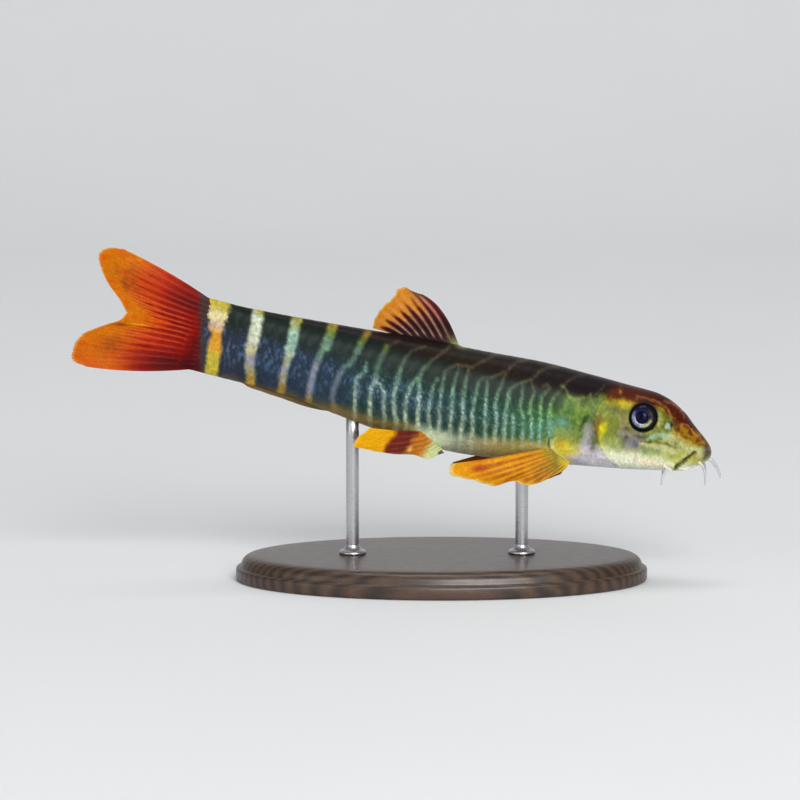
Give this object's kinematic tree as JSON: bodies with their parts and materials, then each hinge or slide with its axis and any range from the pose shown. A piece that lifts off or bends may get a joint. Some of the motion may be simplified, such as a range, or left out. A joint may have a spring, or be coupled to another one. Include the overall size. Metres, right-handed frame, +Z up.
{
  "type": "red-tailed banded loach, still model on a display stand",
  "caption": "Life-size still model of a slender banded stream loach with an orange forked tail and barbels, held nose-down on an oval base with thin rods.",
  "frame": {"origin": "centre of the stand base's underside", "axes": "+X towards the fish's snout along its length, +Y towards its left flank, +Z up"},
  "size_m": [0.1005, 0.036, 0.052],
  "materials": {
    "skin": "wet fish skin in cast resin: dark blue-green flank with pale bars, red-brown and yellow-green head, satin gloss",
    "fin": "thin translucent orange fin membrane with raised rays, satin",
    "eye": "clear glossy cornea over a silver-blue iris and a black pupil",
    "barbel": "milky white soft feelers, satin",
    "stand_wood": "dark stained wood with a satin varnish",
    "stand_steel": "fine brushed round rod"
  },
  "bodies": {
    "root": {"head": "skin", "trunk_front": "skin", "trunk_rear": "skin", "caudal_peduncle": "skin", "eye_right": "eye", "eye_left": "eye", "dorsal_fin": "fin", "caudal_fin_upper_lobe": "fin", "caudal_fin_lower_lobe": "fin", "anal_fin": "fin", "pectoral_fin_right": "fin", "pectoral_fin_left": "fin", "pelvic_fin_right": "fin", "pelvic_fin_left": "fin", "stand_base": "stand_wood", "stand_rod_front": "stand_steel", "stand_rod_rear": "stand_steel", "barbel_rostral_inner_right": "barbel", "barbel_rostral_inner_left": "barbel", "barbel_rostral_outer_right": "barbel", "barbel_rostral_outer_left": "barbel", "barbel_maxillary_right": "barbel", "barbel_maxillary_left": "barbel"}
  },
  "joints": []
}
